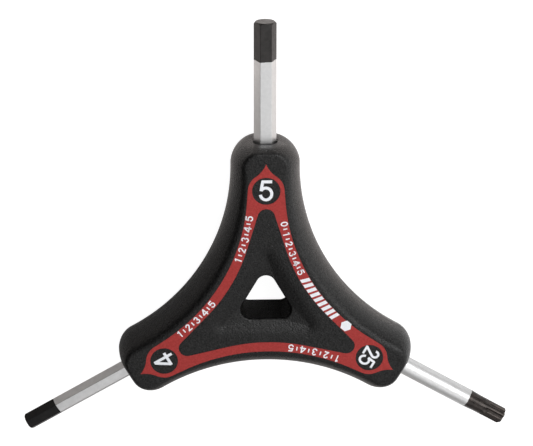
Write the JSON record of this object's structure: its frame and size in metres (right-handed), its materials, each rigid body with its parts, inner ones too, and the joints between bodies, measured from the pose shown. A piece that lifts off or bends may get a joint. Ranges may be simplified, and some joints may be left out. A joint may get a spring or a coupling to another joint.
{
  "type": "y wrench",
  "caption": "Y-shaped hand wrench: a moulded plastic handle with a hanging hole holds hexagon and six-lobe steel drive blades at equal angles.",
  "frame": {"origin": "middle of the bottom of the wrench's box, as it lies on its back; the hub's axis is at x -0.23 mm, y -16.95 mm", "axes": "+Z out of the printed front face, +Y along the 5 mm hexagon blade, +X towards the side of the six-lobe blade"},
  "size_m": [0.1268, 0.1098, 0.0164],
  "materials": {
    "black_plastic": "fine moulded grain, matte",
    "satin_chrome": "satin chrome plate, drawn lengthwise",
    "blackened_steel": "blackened, satin",
    "red_print": "printed ink, satin",
    "white_print": "printed ink, satin"
  },
  "bodies": {
    "root": {"handle": "black_plastic", "blade_hex_5": "satin_chrome", "blade_hex_4": "satin_chrome", "blade_t25": "satin_chrome"}
  },
  "joints": []
}
